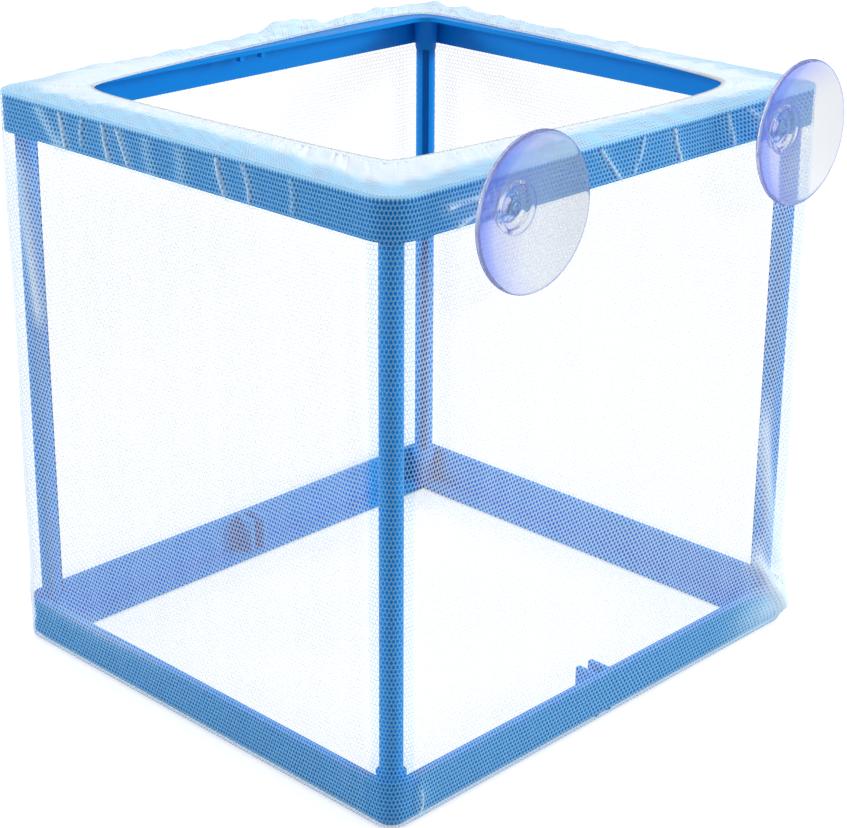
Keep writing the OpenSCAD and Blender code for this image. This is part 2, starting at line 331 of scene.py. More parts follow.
# Resamples a ring from corner to corner, so that rings of different shape match up
def matchRing(ring, counts):
    tips = [int(np.argmax(ring @ np.array(c))) for c in corners]
    n = len(ring)
    rows = []
    for k, count in enumerate(counts):
        a, b = tips[k], tips[(k + 1) % 4]
        if b <= a:
            b += n
        at = a + (b - a) * np.arange(count) / count
        low = np.floor(at).astype(int)
        f = (at - low)[:, None]
        rows.append(ring[low % n] * (1 - f) + ring[(low + 1) % n] * f)
    return np.vstack(rows)


def outwards(ring):
    d = np.roll(ring, -1, 0) - np.roll(ring, 1, 0)
    n = np.stack((d[:, 1], -d[:, 0]), 1)
    return n / np.linalg.norm(n, axis=1, keepdims=True)


def arcLength(ring):
    return np.concatenate(((0,), np.cumsum(np.linalg.norm(np.diff(ring, axis=0), axis=1))))


netBag = {
    "baseW": 160.0, "baseD": 146.4, "baseR": 5.6, "underR": 1.5,
    "rimW": 161.4, "rimD": 147.8, "rimR": 8.1,
    "underZ": 0.2, "topZ": 156.8, "skirtZ": 146.2, "wallTopZ": 12.4,
    "columns": (400, 170, 170, 400), "lowRows": 22, "wallRows": 20, "skirtRows": 26, "edgeR": 1.0,
    "neckX": (-46.5, 55.0), "neckZ": 149.4, "neckR": 2.4,
}


def smooth(a, b, x):
    t = np.clip((x - a) / (b - a), 0, 1)
    return t * t * (3 - 2 * t)


# Random waves round a closed line of length `whole`, about `wave` long and 1 high
def closedWaves(along, whole, wave, seed, spread=0.4, terms=24):
    rng = np.random.default_rng(seed)
    middle = whole / wave
    k = np.unique(np.maximum(1, np.round(rng.uniform(
        middle * (1 - spread), middle * (1 + spread), terms))))
    phase = rng.uniform(0, 2 * math.pi, len(k))
    total = sum(np.cos(2 * math.pi * n * along / whole + p) for n, p in zip(k, phase))
    return total / math.sqrt(len(k) / 2) / 1.6


# Rows of points (rows, columns, 3) in mm to a mesh, with weave UVs in cm. closeness is 0
# for open net and 1 for solid cloth, the blue share is 1 where the net lies on the frame and
# gives its threads the painted blue bounce colour, and holed marks the cells that are left out.
def gridPiece(name, points, uv, closeness, paintedBlueBounce, closed=True, flip=False, holed=None):
    rows, cols = points.shape[:2]
    wrap = cols if closed else cols - 1
    r, c = np.meshgrid(np.arange(rows - 1), np.arange(wrap), indexing="ij")
    if holed is not None:
        r, c = r[~holed], c[~holed]
    r, c = r.ravel(), c.ravel()
    d = (c + 1) % cols
    order = [(r, c, c), (r, d, c + 1), (r + 1, d, c + 1), (r + 1, c, c)]
    if flip:
        order.reverse()
    faces = np.stack([q[0] * cols + q[1] for q in order], -1)
    used = np.unique(faces)
    number = np.zeros(rows * cols, int)
    number[used] = np.arange(len(used))
    me = bpy.data.meshes.new(name)
    me.from_pydata((points.reshape(-1, 3)[used] * mm).tolist(), [], number[faces].tolist())
    where = np.stack([uv[q[0], q[2]] for q in order], 1).reshape(-1, 2)
    me.uv_layers.new(name="weave").data.foreach_set("uv", where.astype(np.float32).ravel())
    for label, values in (("closeness", closeness), ("paintedBlueBounce", paintedBlueBounce)):
        full = np.broadcast_to(np.asarray(values, float), (rows, cols)).ravel()[used]
        me.attributes.new(label, "FLOAT", "POINT").data.foreach_set(
            "value", full.astype(np.float32))
    me.polygons.foreach_set("use_smooth", [True] * len(faces))
    me.materials.append(netMaterial)
    ob = bpy.data.objects.new(name, me)
    bpy.context.scene.collection.objects.link(ob)
    return ob


def bagRings(s, counts):
    base = matchRing(roundedRing(s["baseW"], s["baseD"], s["baseR"]), counts)
    rim = matchRing(roundedRing(s["rimW"], s["rimD"], s["rimR"]), counts)
    return base, rim


# Folds are sharp pleats from a point near the rim to a lower one, bulges are round ones.
# Sides are 0 cups, 1 right, 2 back, 3 left; "at" runs along a side from its middle.
slackNet = {
    "folds": (  # side, at and height of the upper end, of the lower end, width, out, closeness
        (3, -51.3, 154.6, -44.3, 147.5, 2.6, 0.5, 0.22), (3, -42.6, 155.6, -40.6, 147.2, 0.8, 0.9, 0.5),
        (3, -33.0, 156.2, -34.0, 149.0, 0.8, 0.7, 0.34), (3, -25.2, 155.8, -23.6, 147.2, 0.8, 0.9, 0.5),
        (3, -19.9, 155.9, -16.0, 147.2, 0.8, 0.9, 0.5), (3, -8.5, 156.0, -7.0, 147.0, 2.2, 0.4, 0.14),
        (3, 3.0, 156.0, 4.0, 147.0, 2.6, 0.4, 0.14), (3, 17.3, 156.4, 19.6, 147.2, 1.0, 0.9, 0.45),
        (3, 26.0, 155.6, 28.2, 147.5, 1.1, 0.7, 0.34), (3, 42.0, 156.4, 42.8, 148.0, 1.4, 0.5, 0.18),
        (3, -62.4, 140.0, -57.1, 100.0, 2.4, 0.5, 0.22),
        (0, -12.6, 156.4, -4.4, 147.2, 0.9, 0.9, 0.42), (0, 4.4, 156.2, 1.1, 147.5, 1.2, 0.6, 0.25),
        (0, 15.8, 156.2, 19.2, 147.2, 0.8, 0.9, 0.45), (0, 37.0, 156.2, 40.9, 147.5, 1.2, 0.6, 0.3),
        (0, 45.0, 156.0, 50.5, 152.5, 1.0, 0.6, 0.3), (0, -63.1, 151.6, -52.5, 152.3, 0.9, 1.0, 0.5),
        (0, -52.0, 156.0, -50.0, 152.4, 0.9, 0.6, 0.3), (0, -60.0, 146.8, -51.0, 149.4, 0.9, 0.9, 0.45),
        (0, 62.3, 23.6, 76.3, 5.2, 3.2, 1.5, 0.3), (0, 61.9, 66.4, 72.1, 21.0, 2.8, 0.9, 0.24),
        (0, -70.4, 8.0, -70.9, 0.8, 0.7, 0.6, 0.35),
        (1, -40.0, 155.5, -37.0, 147.0, 1.2, 0.8, 0.35), (1, -12.0, 156.0, -14.0, 147.5, 1.0, 0.7, 0.35),
        (1, 22.0, 156.0, 26.0, 147.0, 1.2, 0.8, 0.35), (1, 48.0, 156.0, 46.0, 148.0, 1.0, 0.7, 0.3),
        (2, -52.0, 156.0, -48.0, 147.0, 1.0, 0.8, 0.35), (2, -20.0, 156.2, -22.0, 146.5, 1.6, 1.1, 0.45),
        (2, 12.0, 156.0, 15.0, 147.0, 1.0, 0.8, 0.35), (2, 44.0, 156.0, 41.0, 147.0, 1.2, 0.8, 0.35)),
    "bulges": (  # side, at, height, half length, half height, out, closeness
        (0, 72.0, 9.0, 9.0, 8.0, 1.8, 0.2), (0, 66.0, 6.0, 13.0, 9.0, 0.3, 0.28),
        (3, -40.0, 13.5, 28.0, 4.0, 0.9, 0.15),
        (2, -55.0, 12.5, 22.0, 4.0, 0.8, 0.2), (0, -46.0, 150.0, 7.0, 6.0, 0.7, 0.12),
        (0, 54.0, 150.0, 7.0, 6.0, 0.7, 0.12), (3, 0.0, 80.0, 60.0, 55.0, -0.7, 0.0),
        (0, 0.0, 80.0, 66.0, 55.0, -0.7, 0.0), (1, 0.0, 80.0, 60.0, 55.0, -0.7, 0.0),
        (2, 0.0, 80.0, 66.0, 55.0, -0.7, 0.0)),
    "middle": 0.14, "far": -0.42, "low": 0.10, "band": 0.8, "bow": 0.7, "corner": -0.22,
}


# How the net is stretched round the rim: for each side, from its middle in mm, how close
# the columns of holes stand and how far they lean
stretch = {
    "close": (((-74, 1.37), (-50, 1.25), (-10, 1.0), (12, 0.92), (32, 1.05), (74, 0.95)),
              ((-74, 1.0), (74, 1.05)), ((-74, 1.05), (74, 1.0)),
              ((-74, 0.93), (-40, 1.05), (0, 1.2), (33, 1.32), (74, 1.37))),
    "lean": (((-74, 0.0), (-20, 0.1), (12, 0.43), (32, 0.85), (60, 0.5), (74, 0.2)),
             ((-74, 0.0), (74, 0.0)), ((-74, 0.0), (74, -0.1)),
             ((-74, -0.29), (-45, -0.15), (-10, 0.0), (74, 0.0))),
    "from": 141.0, "pitch": 1.3,
}


# Weave position round a ring, in mm, and its lean, both closed at the front corner
def weaveRun(s, ring, counts):
    side, at = sideOf(ring, counts)
    close, lean = (np.select([side == k for k in range(4)],
                             [np.interp(at, *np.array(s[key][k]).T) for k in range(4)])
                   for key in ("close", "lean"))
    steps = np.diff(arcLength(np.vstack((ring, ring[:1])))) * close
    run = np.concatenate(((0,), np.cumsum(steps)))
    return run * round(run[-1] / s["pitch"]) * s["pitch"] / run[-1], np.append(lean, lean[:1])


def sideOf(ring, counts):
    side = np.repeat(np.arange(4), counts)
    at = np.select([side == 0, side == 1, side == 2, side == 3],
                   [ring[:, 0], ring[:, 1], -ring[:, 0], -ring[:, 1]])
    return side, at


def foldOffsets(s, side, at, z):
    out, close = np.zeros((len(z), len(at))), np.zeros((len(z), len(at)))
    zz = z[:, None]
    for k, a1, z1, a2, z2, width, up, more in s["folds"]:
        t = np.clip((zz - z2) / (z1 - z2) if z1 != z2 else 0.5, 0, 1)
        if abs(a1 - a2) > abs(z1 - z2):  # a fold that lies across
            t = np.clip((at[None] - a2) / (a1 - a2), 0, 1) + 0 * zz
        bow = s["bow"] * np.sin(math.pi * t) * math.sin(9 * a1)
        gap = np.hypot(at[None] - (a2 + (a1 - a2) * t + bow), zz - (z2 + (z1 - z2) * t))
        core = width * (0.62 if width < 2 else 1)
        shape = np.exp(-(gap / core) ** 2) * (side == k)[None]
        out += up * shape
        close += more * (shape + 0.3 * np.exp(-(gap / (width + 1.8)) ** 2) * (side == k)[None])
    for k, a, c, da, dz, up, more in s["bulges"]:
        shape = np.exp(-((at[None] - a) / da) ** 2 - ((zz - c) / dz) ** 2) * (side == k)[None]
        out += up * shape
        close += more * shape
    return out, close


# Opens round holes for the necks of the cups in side 0: moves the points round each
# one outwards and marks the cells inside it
def openNecks(s, side, at, heights):
    x = np.broadcast_to(at, (len(heights), len(at))).copy()
    z = np.broadcast_to(heights[:, None], x.shape).copy()
    gather, close = np.zeros(x.shape), np.zeros(x.shape)
    holed = np.zeros((len(heights) - 1, len(at)), bool)
    front = (side == 0)[None] & np.ones(x.shape, bool)
    for neck in s["neckX"]:
        dx, dz = x - neck, z - s["neckZ"]
        away, turn = np.hypot(dx, dz), np.arctan2(dz, dx)
        near = front & (away < 9)
        gap = np.hypot(dx[:-1] + 0.2, (dz[:-1] + dz[1:]) / 2)
        inside = front[:-1] & (gap < s["neckR"] - 0.5)
        touched, kept = np.zeros(x.shape, bool), np.zeros(x.shape, bool)
        for mask, cells in ((touched, inside), (kept, ~inside)):
            for row in (slice(0, -1), slice(1, None)):
                mask[row] |= cells | np.roll(cells, 1, 1)
        rim = touched & kept
        new = away + 0.5 * np.exp(-((away - s["neckR"]) / 1.6) ** 2)
        new[rim] = s["neckR"]
        x = np.where(near, neck + new * np.cos(turn), x)
        z = np.where(near, s["neckZ"] + new * np.sin(turn), z)
        pull = np.exp(-((away - s["neckR"]) / 2.8) ** 2) * near
        gather += pull * (0.25 + 0.3 * np.cos(11 * turn + 0.6 * away))
        close += pull * (0.14 + 0.16 * np.cos(11 * turn + 0.6 * away))
        holed |= inside
    return x, z, gather, close, holed


def makeWalls(s, slack):
    counts = s["columns"]
    base, rim = bagRings(s, counts)
    run = arcLength(np.vstack((rim, rim[:1])))
    low, high = s["underZ"] + s["underR"], s["topZ"] - s["edgeR"]
    turn = np.linspace(0, math.pi / 2, 5)[:-1]
    heights = np.concatenate((
        low - s["underR"] * np.cos(turn),
        np.linspace(low, s["wallTopZ"] + 14, s["lowRows"] + 1)[:-1],
        np.linspace(s["wallTopZ"] + 14, s["skirtZ"] - 3, s["wallRows"]),
        np.linspace(s["skirtZ"] - 2.5, high, s["skirtRows"])))
    tuck = np.concatenate((s["underR"] * (1 - np.sin(turn)),
                           np.zeros(s["lowRows"] + s["wallRows"] + s["skirtRows"])))
    side, at = sideOf(rim, counts)
    out, close = foldOffsets(slack, side, at, heights)
    pleats = np.clip(close, 0, 1)
    close = np.clip(1.5 * close, 0, 0.85)
    moved, lifted, gather, more, holed = openNecks(s, side, at, heights)
    z = heights[:, None]
    onSkirt = smooth(s["skirtZ"] - 0.8, s["skirtZ"] + 0.4, z)
    onRail = smooth(s["wallTopZ"] + 1.2, s["wallTopZ"] - 0.6, z)
    free = smooth(s["wallTopZ"], s["wallTopZ"] + 10, z) * smooth(s["skirtZ"], s["skirtZ"] - 10, z)
    for seed, wave, height in ((31, 26, 0.30), (32, 9, 0.12)):
        a = closedWaves(run[:-1], run[-1], wave, seed)
        b = closedWaves(run[:-1], run[-1], wave * 1.3, seed + 10)
        mix = 0.5 + 0.5 * np.sin(z / wave * 2.2)
        waves = height * (a[None] * mix + b[None] * (1 - mix))
        out += waves * free + np.maximum(waves, 0) * 0.6 * (1 - free)
    out = out * smooth(0, 6, z) + gather
    farWalls = ((side == 1) | (side == 2))[None]
    close += more + (slack["middle"] + slack["far"] * farWalls) * free + slack["low"] * onRail
    tips = [run[sum(counts[:k])] for k in range(4)]
    fromTip = np.stack([np.abs((run[:-1] - tip + run[-1] / 2) % run[-1] - run[-1] / 2)
                        for tip in tips])
    close += slack["corner"] * smooth(9, 5, fromTip[0])[None]
    # Share of painted blue bounce: full where the net lies on the skirt, rails and front post, some over
    # the left and right posts, less on lifted folds, none on the seams.
    paintedBlueBounce = np.maximum(np.maximum(onSkirt, onRail), smooth(7.0, 5.0, fromTip[0])[None])
    paintedBlueBounce = paintedBlueBounce * (1 - 0.75 * np.clip(1.7 * pleats - 0.1, 0, 1))
    for corner in (1, 3):
        paintedBlueBounce = np.maximum(paintedBlueBounce, 0.35 * smooth(14, 11, fromTip[corner])[None] * free)
    for corner, on in ((1, 0), (3, 3)):  # seams of the bag, at two opposite corners
        band = (smooth(5.2, 3.8, fromTip[corner]) * (side == on))[None] * smooth(
            s["skirtZ"] + 0.5, s["skirtZ"] - 0.5, z) * smooth(4, 8, z)
        close = np.maximum(close, slack["band"] * band)
        paintedBlueBounce = paintedBlueBounce * (1 - band)
    n = len(base)
    points = np.zeros((len(heights), n, 3))
    for r, h in enumerate(heights):
        f = (h - s["underZ"]) / (s["topZ"] - s["underZ"])
        ring = base * (1 - f) + rim * f
        points[r, :, :2] = ring + outwards(ring) * (out[r] - tuck[r])[:, None]
        points[r, :, 2] = lifted[r]
    points[:, :, 0] += np.where(side == 0, moved - at, 0)
    uv = np.zeros((len(heights), n + 1, 2))
    woven, lean = weaveRun(stretch, rim, counts)
    uv[:, :, 0] = (woven + lean * np.maximum(0, z - stretch["from"])) * 0.1
    uv[:, :, 1] = heights[:, None] * 0.1
    return gridPiece("netWalls", points, uv, np.clip(close, -0.3, 1), paintedBlueBounce, holed=holed)


def makeFloor(s, cells=(78, 71)):
    low, high = np.array((-s["baseW"], -s["baseD"])) / 2, np.array((s["baseW"], s["baseD"])) / 2
    inset = s["underR"]
    ring = matchRing(roundedRing(s["baseW"] - 2 * inset, s["baseD"] - 2 * inset,
                                 s["baseR"] - inset), (cells[0], cells[1]) * 2)
    a, b = cells
    front, right = ring[:a + 1], ring[a:a + b + 1]
    back, left = ring[a + b:2 * a + b + 1][::-1], np.vstack((ring[2 * a + b:], ring[:1]))[::-1]
    u, v = np.linspace(0, 1, a + 1)[None, :, None], np.linspace(0, 1, b + 1)[:, None, None]
    patch = ((1 - v) * front[None] + v * back[None] + (1 - u) * left[:, None] + u * right[:, None]
             - (1 - u) * (1 - v) * front[0] - u * (1 - v) * front[-1]
             - (1 - u) * v * back[0] - u * v * back[-1])
    points = np.concatenate((patch, np.full((b + 1, a + 1, 1), s["underZ"])), 2)
    return gridPiece("netFloor", points, patch * 0.1, -0.25, 0.0, closed=False, flip=True)


hem = {
    # inner edge of the hem in plan, in mm, from the front corner round past the cups
    "line": ((-59.4, -48.8), (-57.3, -51.5), (-53.6, -52.8), (-45.3, -54.0), (-26.6, -55.8),
             (-11.3, -57.7), (6.6, -59.3), (20.6, -60.3), (36.3, -60.6), (50.0, -59.6),
             (57.5, -57.0), (61.5, -52.5), (64.5, -38.0), (67.4, -18.2), (69.2, -2.0),
             (70.4, 13.8), (71.3, 33.0), (71.9, 50.0), (71.8, 58.0), (70.2, 63.4),
             (65.5, 66.6), (55.0, 67.9), (40.0, 67.6), (23.4, 66.5), (10.0, 65.2),
             (-2.7, 64.0), (-18.0, 62.9), (-32.9, 61.2), (-50.0, 58.8), (-58.8, 56.4),
             (-63.2, 51.5), (-64.6, 41.0), (-64.2, 24.0), (-63.6, 5.5), (-62.4, -12.0),
             (-61.2, -32.0)),
    "width": 2.6, "height": 0.8, "z": 157.0, "rest": 0.40, "columns": (456, 412, 456, 412),
    "rows": 26,
    "gather": 2.6, "ruffle": 0.16, "flange": 11.7, "closeness": 0.80, "cordR": 0.36,
    "start": 0.4, "bendRows": 5,  # closeness at the rim's edge, rows that bend over it
    # on the far sides, how far out the cord and the stitches lie in mm, and how much
    # flatter they and the casing are
    "cordOut": 1.3, "stitchOut": 0.6, "farFlat": 0.6,
    # how far the slack net stands off the rim: mm along each side from its middle, and mm up
    "slack": (((-70, 0.2), (-40, 0.5), (-10, 0.9), (20, 0.4), (55, 0.3), (78, 0.2)),
              ((-70, 0.1), (-58, 0.1), (-32, 0.3), (3, 1.0), (29, 1.5), (47, 1.9), (70, 2.1)),
              ((-74, 1.9), (-52, 2.1), (-38, 1.0), (-31, 1.9), (-25, 3.8), (-19, 4.3),
               (-15, 3.8), (-10, 2.1), (5, 1.6), (33, 1.0), (45, 1.5), (58, 1.8),
               (63, 1.5), (69, 0.5), (76, 0.2)),
              ((-70, 0.3), (-45, 0.4), (-20, 1.0), (5, 0.7), (30, 1.2), (60, 0.3), (70, 0.2))),
}


def sideSlack(s, ring, counts):
    out, at = np.zeros(len(ring)), 0
    for k, count in enumerate(counts):
        axis, sign = ((0, 1), (1, 1), (0, -1), (1, -1))[k]
        here = ring[at:at + count, axis] * sign
        knots = np.array(s["slack"][k])
        out[at:at + count] = np.interp(here, knots[:, 0], knots[:, 1])
        at += count
    kernel = np.hanning(31)
    return np.convolve(np.concatenate((out[-15:], out, out[:15])), kernel / kernel.sum(), "valid")


# 1 on the two far sides of the hem, 0 on the others
def farShare(ring):
    return np.maximum(smooth(60, 69, ring[:, 0]), smooth(52, 60, ring[:, 1]))


def makeTurnover(s, bagSize):
    counts = s["columns"]
    rim = bagRings(bagSize, counts)[1]
    inner = matchRing(splineRing(s["line"]), counts)
    out = outwards(inner)
    run = arcLength(np.vstack((rim, rim[:1])))
    whole, along = run[-1], run[:-1]
    edge, top = bagSize["edgeR"], bagSize["topZ"]
    start = rim - outwards(rim) * edge
    stop = inner + out * s["width"] * 0.55
    gather = closedWaves(along, whole, s["gather"] * 1.2, 3)
    broad = closedWaves(along, whole, 17, 5)
    lift = sideSlack(s, rim, counts)
    n, rows = len(rim), s["rows"]
    bend = np.linspace(0, math.pi / 2, s["bendRows"] + 1)
    total = s["bendRows"] + rows
    points = np.zeros((total, n, 3))
    density = np.zeros((total, n))
    far = np.linalg.norm(stop - start, axis=1)
    farSide = farShare(inner)
    distance, paintedBlueBounce = np.zeros((total, n)), np.ones((total, n))
    blotchA, blotchB = (closedWaves(along, whole, 11, seed) for seed in (13, 14))
    for r in range(total):
        if r < s["bendRows"]:
            a = bend[r]
            points[r, :, :2] = start + outwards(rim) * edge * math.cos(a)
            points[r, :, 2] = top - edge + edge * math.sin(a)
            distance[r] = edge * a - edge * math.pi / 2
            density[r] = s["start"] + (s["closeness"] - s["start"]) * a / 1.57
            # over the rim's rounded edge the painted blue bounce falls off a little
            paintedBlueBounce[r] = 1 - 0.36 * a / 1.57
            continue
        q = (r - s["bendRows"]) / (rows - 1)
        points[r, :, :2] = start * (1 - q) + stop * q
        off = q * far  # mm in from the rim's edge
        swell = math.sin(math.pi * min(1, q * 1.02)) ** 0.8
        wave = gather * s["ruffle"] * smooth(0.2, 1.0, q) * (0.75 + 0.25 * broad)
        blister = 0.3 * swell * closedWaves(along + 9 * q, whole, 12, 11)
        blotch = blotchA * math.cos(4 * q) + blotchB * math.sin(4 * q)
        z = (lift * swell + np.maximum(0, broad) * 0.4 * swell + wave + blister
             + 0.25 * swell * blotch
             + (s["z"] + 0.1 - s["rest"] * farSide - top) * smooth(0.5, 1.0, q))
        hanging = smooth(s["flange"] - edge - 0.5, s["flange"] - edge + 1.5, off)
        points[r, :, 2] = top + np.where(hanging > 0.5, z, np.maximum(z, 0.1 * wave))
        distance[r] = off
        streak = closedWaves(along + 2.2 * off, whole, 5.5, 17)
        white = smooth(s["flange"] - edge - 6.0, s["flange"] - edge + 2.2,
                       off + 0.9 * blotch + 0.4 * streak)
        density[r] = np.clip(s["closeness"] + 0.08 * blotch + 0.03 * gather * q
                             + (1 - s["closeness"]) * white
                             + 0.05 * streak + farSide * 0.08, 0, 1.0)
        # painted blue bounce over the flange: gone where the hem hangs free, weaker on the far sides,
        # blotchy
        paintedBlueBounce[r] = np.clip(0.64 * (1 - white) * (1 - 0.6 * farSide) + 0.1 * blotch, 0, 1)
    uv = np.zeros((total, n + 1, 2))
    woven, lean = weaveRun(stretch, rim, counts)
    uv[:, :, 0] = (woven + lean * (top - stretch["from"])) * 0.1
    uv[:, :-1, 1] = (top + distance) * 0.1
    uv[:, -1, 1] = uv[:, 0, 1]
    return gridPiece("netTurnover", points, uv, density, paintedBlueBounce)


# Tube that follows a ring: section is a list of (out, up) in mm, scaled by bump and, in
# height alone, by flat
def sweepRing(name, ring, z, section, bump, flat, material, closeness=0.95):
    out = outwards(ring)
    run = arcLength(np.vstack((ring, ring[:1])))
    sec = np.array(section + section[:1])
    points = np.zeros((len(sec), len(ring), 3))
    for r, (a, b) in enumerate(sec):
        points[r, :, :2] = ring + out * (a * bump)[:, None]
        points[r, :, 2] = z + b * bump * flat
    uv = np.zeros((len(sec), len(ring) + 1, 2))
    uv[:, :, 0] = run[None, :] * 0.1
    uv[:, :, 1] = (np.arange(len(sec)) * 0.04)[:, None]
    ob = gridPiece(name, points, uv, closeness, 0.0)
    mergeSeam(ob)
    ob.data.materials[0] = material
    return ob


def mergeSeam(ob):
    b = bmesh.new()
    b.from_mesh(ob.data)
    bmesh.ops.remove_doubles(b, verts=b.verts, dist=1e-6)
    b.to_mesh(ob.data)
    b.free()


def ovalSection(width, height, sides):
    steps = np.linspace(0, 2 * math.pi, sides, endpoint=False)
    return [(-width / 2 * math.cos(a), height / 2 * math.sin(a)) for a in steps]


def makeHem(s):
    inner = matchRing(splineRing(s["line"]), s["columns"])
    run = arcLength(np.vstack((inner, inner[:1])))
    wave = closedWaves(run[:-1], run[-1], s["gather"], 21)
    far = farShare(inner)
    return sweepRing("gatheredHem", inner + outwards(inner) * s["width"] / 2,
                     s["z"] - s["rest"] * far, ovalSection(s["width"], s["height"], 14),
                     (1 + 0.06 * wave) * (1 - 0.1 * far), 1 - s["farFlat"] * far, netMaterial,
                     0.95 - s["farFlat"] * far)


# Elastic cord inside the hem; on the near sides its grey shows as the hem's inner edge, a painted shade
# line.
def makeCord(s):
    inner = matchRing(splineRing(s["line"]), s["columns"])
    far = farShare(inner)
    return sweepRing("hemElastic", inner + outwards(inner) * (s["cordOut"] * far)[:, None],
                     s["z"] - s["rest"] * far, ovalSection(2 * s["cordR"], 2 * s["cordR"], 8),
                     1 - s["farFlat"] * far, 1, cordMaterial)


overlock = {"pitch": 0.9, "thread": 0.06, "across": 1.4, "high": 0.86, "lean": 28, "seed": 4}


# Geometry nodes: loops of thread round a curve, one every Pitch
def makeStitchNodes():
    g = bpy.data.node_groups.new("overlockLoops", "GeometryNodeTree")
    for label, kind in (("Geometry", "Geometry"), ("Pitch", "Float"), ("Thread", "Float"),
                        ("Across", "Float"), ("High", "Float"), ("Lean", "Float"),
                        ("Seed", "Int"), ("Material", "Material")):
        g.interface.new_socket(label, in_out="INPUT", socket_type="NodeSocket" + kind)
    g.interface.new_socket("Geometry", in_out="OUTPUT", socket_type="NodeSocketGeometry")
    i, o = g.nodes.new("NodeGroupInput").outputs, g.nodes.new("NodeGroupOutput").inputs
    link = g.links.new
    points = setUp(g, "GeometryNodeCurveToPoints", mode="LENGTH")
    link(i["Geometry"], points.inputs["Curve"])
    link(i["Pitch"], points.inputs["Length"])
    loop = setUp(g, "GeometryNodeCurvePrimitiveCircle")
    loop.inputs["Resolution"].default_value = 10
    loop.inputs["Radius"].default_value = 0.5
    size = setUp(g, "ShaderNodeCombineXYZ")
    link(i["Across"], size.inputs[0])
    link(i["High"], size.inputs[1])
    size.inputs[2].default_value = 1
    shaped = setUp(g, "GeometryNodeTransform")
    link(loop.outputs["Curve"], shaped.inputs["Geometry"])
    link(size.outputs[0], shaped.inputs["Scale"])
    around = setUp(g, "GeometryNodeCurvePrimitiveCircle")
    around.inputs["Resolution"].default_value = 5
    link(i["Thread"], around.inputs["Radius"])
    tube = setUp(g, "GeometryNodeCurveToMesh")
    link(shaped.outputs["Geometry"], tube.inputs["Curve"])
    link(around.outputs["Curve"], tube.inputs["Profile Curve"])
    place = setUp(g, "GeometryNodeInstanceOnPoints")
    link(setUp(g, "GeometryNodeInputRadius").outputs[0], place.inputs["Scale"])
    link(points.outputs["Points"], place.inputs["Points"])
    link(tube.outputs["Mesh"], place.inputs["Instance"])
    link(points.outputs["Rotation"], place.inputs["Rotation"])
    angle = setUp(g, "FunctionNodeRandomValue", data_type="FLOAT")
    spread = maths(g, "MULTIPLY", i["Lean"], 0.35)
    link(maths(g, "SUBTRACT", i["Lean"], spread), angle.inputs[2])
    link(maths(g, "ADD", i["Lean"], spread), angle.inputs[3])
    link(i["Seed"], angle.inputs["Seed"])
    tilt = setUp(g, "ShaderNodeCombineXYZ")
    link(angle.outputs[1], tilt.inputs[1])
    turned = setUp(g, "GeometryNodeRotateInstances")
    link(place.outputs[0], turned.inputs["Instances"])
    link(tilt.outputs[0], turned.inputs["Rotation"])
    real = setUp(g, "GeometryNodeRealizeInstances")
    link(turned.outputs[0], real.inputs[0])
    paintNode = setUp(g, "GeometryNodeSetMaterial")
    link(real.outputs[0], paintNode.inputs["Geometry"])
    link(i["Material"], paintNode.inputs["Material"])
    link(paintNode.outputs[0], o["Geometry"])
    return g


stitchNodes = makeStitchNodes()


def addStitches(name, s, points, closed, share):
    data = bpy.data.curves.new(name + "Line", "CURVE")
    data.dimensions = "3D"
    line = data.splines.new("POLY")
    line.points.add(len(points) - 1)
    line.points.foreach_set("co", np.column_stack(
        (np.array(points) * mm, np.ones(len(points)))).astype(np.float32).ravel())
    line.points.foreach_set("radius", share.astype(np.float32))
    line.use_cyclic_u = closed
    guide = bpy.data.objects.new(name + "Guide", data)
    bpy.context.scene.collection.objects.link(guide)
    mod = guide.modifiers.new("loops", "NODES")
    mod.node_group = stitchNodes
    socket = {q.name: q.identifier for q in stitchNodes.interface.items_tree
              if q.in_out == "INPUT"}
    for label, value in (("Pitch", s["pitch"] * mm), ("Thread", s["thread"] * mm),
                         ("Across", s["across"] * mm), ("High", s["high"] * mm),
                         ("Lean", math.radians(s["lean"])), ("Seed", s["seed"]),
                         ("Material", threadMaterial)):
        mod[socket[label]] = value
    bpy.context.view_layer.update()
    me = bpy.data.meshes.new_from_object(guide.evaluated_get(
        bpy.context.evaluated_depsgraph_get()))
    bpy.data.objects.remove(guide)
    me.name = name
    me.polygons.foreach_set("use_smooth", [True] * len(me.polygons))
    ob = bpy.data.objects.new(name, me)
    bpy.context.scene.collection.objects.link(ob)
    return ob


def hemStitches(s, h):
    inner = splineRing(h["line"])
    far = farShare(inner)
    share = 1 - h["farFlat"] * far
    ring = inner + outwards(inner) * ((s["across"] / 2 - h["cordR"] - s["thread"]) * share
                                      + h["stitchOut"] * far)[:, None]
    return addStitches("hemStitches", s, np.column_stack((ring, h["z"] - h["rest"] * far)), True,
                       share)


softCup = {
    "sides": 128, "faceY": -73.3, "headR": 3.2, "headIn": -5.5, "headOut": -1.9, "neckR": 2.1,
    "hubS": 0.9, "hubR": 4.0, "stepS": 2.8, "stepR": 5.7, "backS": 3.8, "rimR": 18.8,
    "rimT": 0.6, "reach": 11.2, "dish": 6.0, "lip": 0.9, "pipR": 1.5, "pipH": 0.55,
}


